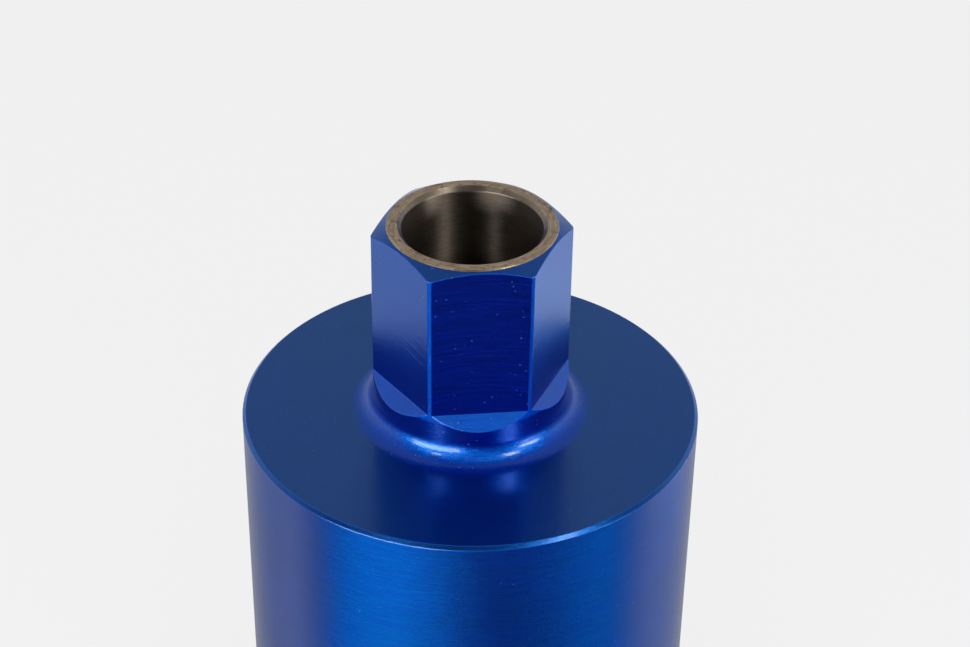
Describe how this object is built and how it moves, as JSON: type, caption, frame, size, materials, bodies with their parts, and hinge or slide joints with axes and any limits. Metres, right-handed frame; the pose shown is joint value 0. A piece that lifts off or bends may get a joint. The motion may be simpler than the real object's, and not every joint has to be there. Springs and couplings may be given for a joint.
{
  "type": "diamond core bit",
  "caption": "Thin-walled core drill: steel barrel tube with cutting segments on its rim, an end plate and a hexagon hub with a threaded bore.",
  "frame": {"origin": "centre of the ring of segments, at their cutting faces, on which the bit stands", "axes": "+Z along the bit's axis, from the cutting edge to the hub; -Y square to one spanner flat, the front"},
  "size_m": [0.112, 0.1114, 0.5126],
  "materials": {
    "blue_coat": "translucent gloss blue lacquer over machined steel",
    "segment_bond": "sintered metal bond with diamond grit"
  },
  "bodies": {
    "root": {"hub": "blue_coat", "barrel": "blue_coat", "segment_01": "segment_bond", "segment_02": "segment_bond", "segment_03": "segment_bond", "segment_04": "segment_bond", "segment_05": "segment_bond", "segment_06": "segment_bond", "segment_07": "segment_bond", "segment_08": "segment_bond", "segment_09": "segment_bond", "segment_10": "segment_bond"}
  },
  "joints": []
}
